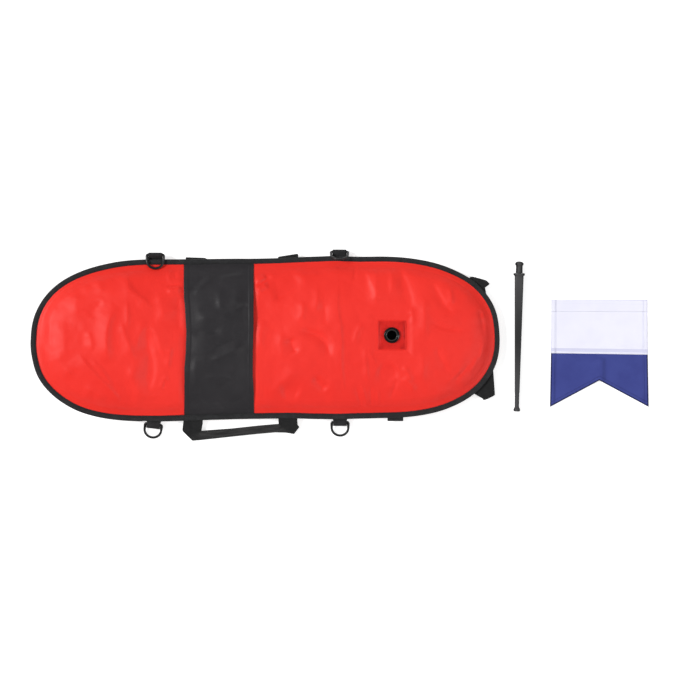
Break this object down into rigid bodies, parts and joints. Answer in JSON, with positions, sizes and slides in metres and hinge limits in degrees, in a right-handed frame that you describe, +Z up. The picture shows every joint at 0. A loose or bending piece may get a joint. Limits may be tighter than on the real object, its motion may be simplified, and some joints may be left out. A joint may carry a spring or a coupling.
{
  "type": "dive flag float",
  "caption": "Inflatable dive flag float in a bound fabric cover, with a cargo band, D-rings, folding carry handles, a valve that takes the mast, and a swallow-tailed flag.",
  "frame": {"origin": "on the floor, at the middle of the flat face that the float rests on", "axes": "+X along the float to its valve end and on to the mast and the flag, +Z up through the crown of the float"},
  "size_m": [1.1612, 0.3571, 0.0543],
  "materials": {
    "cover": "coated nylon, satin",
    "bladder": "smooth film",
    "tape": "woven tape",
    "band": "coated nylon, matte",
    "patch": "coated, glossy",
    "valve": "moulded, glossy",
    "flap": "matte",
    "webbing": "woven webbing",
    "ring": "moulded, satin",
    "mast": "moulded, satin",
    "flag_white": "woven, matte",
    "flag_blue": "woven, matte"
  },
  "bodies": {
    "float": {"top_cover": "cover", "bottom_cover": "cover", "air_bladder": "bladder", "edge_binding": "tape", "cargo_band": "band", "valve_patch": "patch", "valve_body": "valve", "valve_base": "valve", "near_left_tab": "webbing", "near_right_tab": "webbing", "far_left_tab": "webbing", "far_right_tab": "webbing", "edge_stub": "webbing", "near_handle_left_end": "webbing", "near_handle_right_end": "webbing", "far_handle_left_end": "webbing", "far_handle_right_end": "webbing", "end_handle_left_end": "webbing", "end_handle_right_end": "webbing"},
    "near_left_ring": {"near_left_ring": "ring"},
    "near_right_ring": {"near_right_ring": "ring"},
    "far_left_ring": {"far_left_ring": "ring"},
    "far_right_ring": {"far_right_ring": "ring"},
    "near_handle": {"near_handle": "webbing"},
    "far_handle": {"far_handle": "webbing"},
    "end_handle": {"end_handle": "webbing"},
    "valve_flap": {"valve_flap": "flap"},
    "mast": {"mast_plug": "mast", "mast_shaft": "mast", "mast_end_cap": "mast"},
    "flag": {"flag_white_panel": "flag_white", "flag_blue_panel": "flag_blue"}
  },
  "joints": [
    {"name": "near_left_ring_hinge", "type": "hinge", "parent": "float", "child": "near_left_ring", "pos_m": [-0.21102, -0.16118, 0.0094], "axis": [-0.9925, 0.1219, 0], "range_deg": [-64, 135]},
    {"name": "near_right_ring_hinge", "type": "hinge", "parent": "float", "child": "near_right_ring", "pos_m": [0.141, -0.1575, 0.0094], "axis": [-1, 0, 0], "range_deg": [-64, 135]},
    {"name": "far_left_ring_hinge", "type": "hinge", "parent": "float", "child": "far_left_ring", "pos_m": [-0.206, 0.15729, 0.0178], "axis": [1, 0, 0], "range_deg": [-240, 0]},
    {"name": "far_right_ring_hinge", "type": "hinge", "parent": "float", "child": "far_right_ring", "pos_m": [0.14, 0.16309, 0.0086], "axis": [1, 0, 0], "range_deg": [-200, 0]},
    {"name": "near_handle_hinge", "type": "hinge", "parent": "float", "child": "near_handle", "pos_m": [-0.0462, -0.15584, 0.01075], "axis": [-1, 0, 0], "range_deg": [-72, 119]},
    {"name": "far_handle_hinge", "type": "hinge", "parent": "float", "child": "far_handle", "pos_m": [-0.04265, 0.15671, 0.00885], "axis": [0.9997, 0.0244, 0], "range_deg": [0, 245]},
    {"name": "end_handle_hinge", "type": "hinge", "parent": "float", "child": "end_handle", "pos_m": [0.425, 0.0065, 0.00885], "axis": [0.0523, -0.9986, 0], "range_deg": [0, 180]},
    {"name": "valve_flap_hinge", "type": "hinge", "parent": "float", "child": "valve_flap", "pos_m": [0.2382, 0.0164, 0.0205], "axis": [1, 0, 0], "range_deg": [0, 50], "stiffness_Nm_per_rad": 0.01},
    {"name": "mast_lift", "type": "slide", "parent": "float", "child": "mast", "axis": [0, 0, 1], "range_m": [0, 0.3]},
    {"name": "flag_lift", "type": "slide", "parent": "float", "child": "flag", "axis": [0, 0, 1], "range_m": [0, 0.3]}
  ]
}
